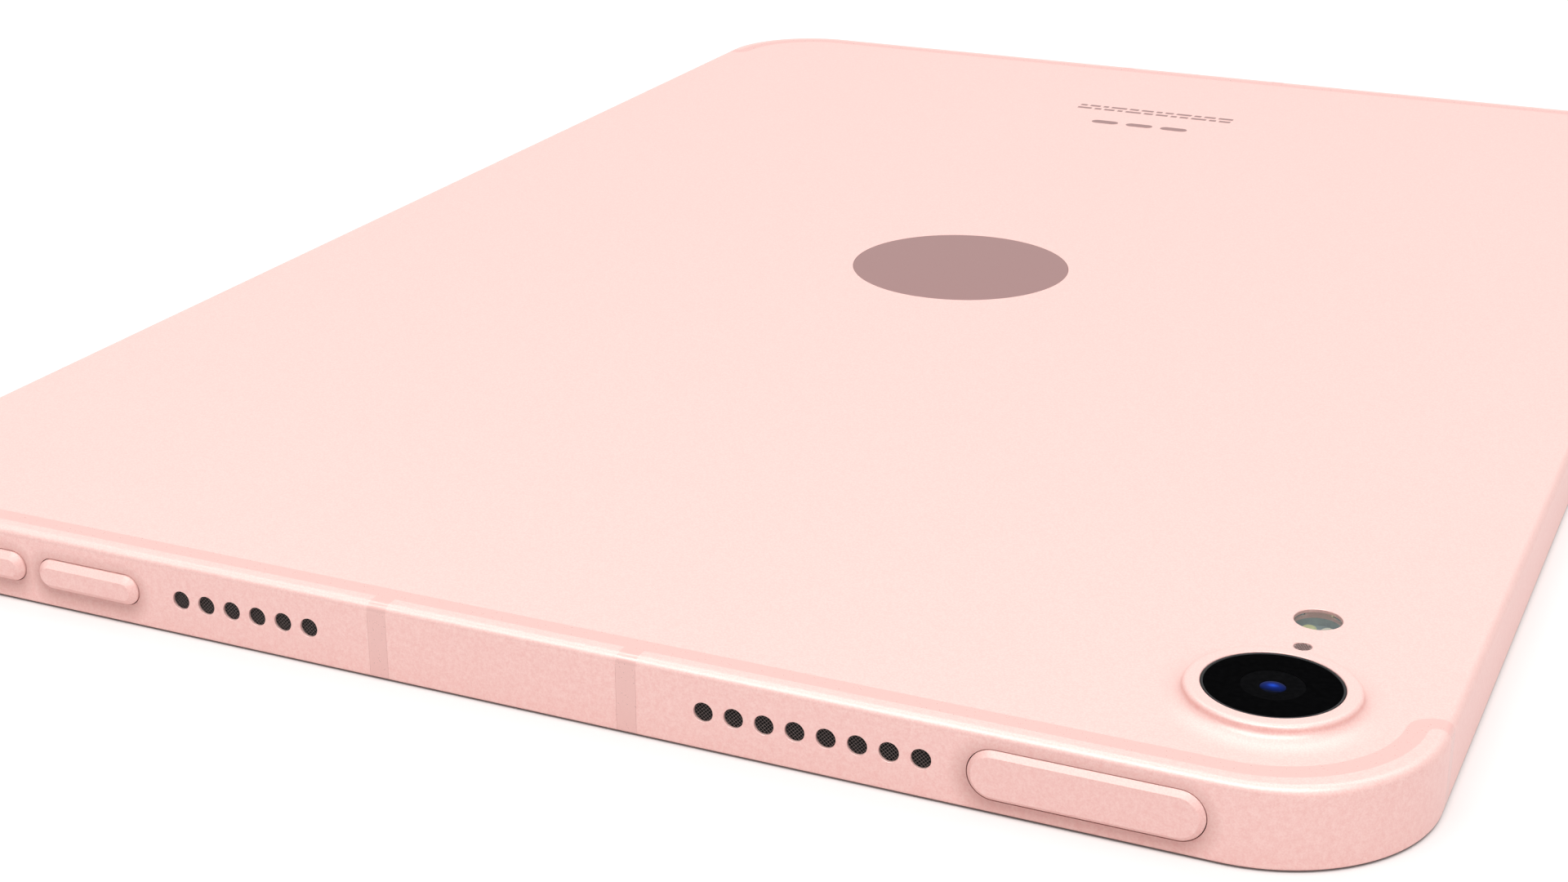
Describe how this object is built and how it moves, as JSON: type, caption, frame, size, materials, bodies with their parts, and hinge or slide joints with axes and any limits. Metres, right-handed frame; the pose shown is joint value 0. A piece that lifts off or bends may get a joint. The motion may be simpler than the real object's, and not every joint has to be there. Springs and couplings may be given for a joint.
{
  "type": "tablet computer",
  "caption": "Slim slab tablet with a rounded metal back, flush display, plastic antenna bands, raised camera ring, edge buttons, speaker holes, port and card tray.",
  "frame": {"origin": "centre of the display face", "axes": "+X across the tablet towards the camera's side, +Y along it from the button edge towards the port edge, +Z out of the back"},
  "size_m": [0.1348, 0.1961, 0.0076],
  "materials": {
    "pink_anodised": "fine bead-blasted, anodised pink",
    "pink_plastic": "smooth satin, moulded flush with the metal",
    "mauve_polish": "polished and anodised, darker than the body",
    "black_glass": "polished, black behind the glass",
    "clear_glass": "polished, lightly frosted",
    "black_rubber": "matt",
    "panel": "laminated panel, switched off",
    "diffuser": "white diffusing film and moulding",
    "flex": "flexible circuit film",
    "battery_foil": "dark laminated pouch foil",
    "circuit_board": "solder mask",
    "tinned_steel": "tinned sheet",
    "dark_steel": "blackened steel",
    "black_plastic": "fine moulded grain",
    "magnet": "nickel plated",
    "copper_coil": "enamelled copper winding"
  },
  "bodies": {
    "tablet_body": {"antenna_band_bottom": "pink_plastic", "antenna_band_top": "pink_plastic", "backlight_unit": "diffuser", "battery_board": "circuit_board", "battery_cell": "battery_foil", "bottom_rail_centre": "pink_anodised", "bottom_rail_left": "pink_anodised", "bottom_rail_right": "pink_anodised", "camera_housing": "black_plastic", "camera_sensor_board": "circuit_board", "camera_trim_ring": "pink_anodised", "camera_window": "black_glass", "charge_flex": "flex", "cover_magnet": "magnet", "display_flex": "flex", "display_gasket": "black_rubber", "display_glass": "black_glass", "flash_led_module": "diffuser", "flash_window": "clear_glass", "front_camera": "black_plastic", "lcd_panel": "panel", "logic_board": "circuit_board", "logic_board_screw_1": "dark_steel", "logic_board_screw_2": "dark_steel", "logic_board_screw_3": "dark_steel", "modem_shield": "tinned_steel", "processor_chip": "black_plastic", "processor_shield": "tinned_steel", "rear_emblem": "mauve_polish", "rear_microphone": "tinned_steel", "rear_microphone_mesh": "dark_steel", "rear_shell": "pink_anodised", "sim_reader": "tinned_steel", "speaker_box_bottom_left": "black_plastic", "speaker_box_bottom_right": "black_plastic", "speaker_box_top_left": "black_plastic", "speaker_box_top_right": "black_plastic", "speaker_mesh_bottom_left": "dark_steel", "speaker_mesh_bottom_right": "dark_steel", "speaker_mesh_top_left": "dark_steel", "speaker_mesh_top_right": "dark_steel", "stylus_coil": "copper_coil", "stylus_magnet": "magnet", "stylus_window": "pink_plastic", "top_button_switch": "dark_steel", "top_rail_centre": "pink_anodised", "top_rail_left": "pink_anodised", "top_rail_right": "pink_anodised", "usb_board": "circuit_board", "usb_c_shell": "tinned_steel", "usb_c_tongue": "black_plastic", "volume_switch_bracket": "dark_steel"},
    "top_button_body": {"top_button": "pink_anodised", "fingerprint_sensor": "black_plastic"},
    "volume_up_body": {"volume_up_button": "pink_anodised"},
    "volume_down_body": {"volume_down_button": "pink_anodised"},
    "card_tray_body": {"sim_tray": "pink_anodised"},
    "eject_rod_body": {"sim_eject_rod": "dark_steel"},
    "eject_lever_body": {"sim_eject_lever": "dark_steel"},
    "camera_lens_body": {"camera_lens_barrel": "black_plastic"}
  },
  "joints": [
    {"name": "top_button_press", "type": "slide", "parent": "tablet_body", "child": "top_button_body", "axis": [0, 1, 0], "range_m": [0, 0.00025], "stiffness_N_per_m": 4000},
    {"name": "volume_up_press", "type": "slide", "parent": "tablet_body", "child": "volume_up_body", "axis": [0, 1, 0], "range_m": [0, 0.00025], "stiffness_N_per_m": 3000},
    {"name": "volume_down_press", "type": "slide", "parent": "tablet_body", "child": "volume_down_body", "axis": [0, 1, 0], "range_m": [0, 0.00025], "stiffness_N_per_m": 3000},
    {"name": "card_tray_slide", "type": "slide", "parent": "tablet_body", "child": "card_tray_body", "axis": [1, 0, 0], "range_m": [0, 0.018]},
    {"name": "eject_rod_slide", "type": "slide", "parent": "tablet_body", "child": "eject_rod_body", "axis": [-1, 0, 0], "range_m": [0, 0.0012]},
    {"name": "eject_lever_turn", "type": "hinge", "parent": "tablet_body", "child": "eject_lever_body", "pos_m": [0.04725, 0.0608, 0.0031], "axis": [0, 0, 1], "range_deg": [0, 16.5]},
    {"name": "camera_focus_slide", "type": "slide", "parent": "tablet_body", "child": "camera_lens_body", "axis": [0, 0, 1], "range_m": [0, 0.00025], "stiffness_N_per_m": 300}
  ],
  "couplings": [
    {"joint": "eject_lever_turn", "follows": "eject_rod_slide", "rad_per_m": 232.56}
  ]
}
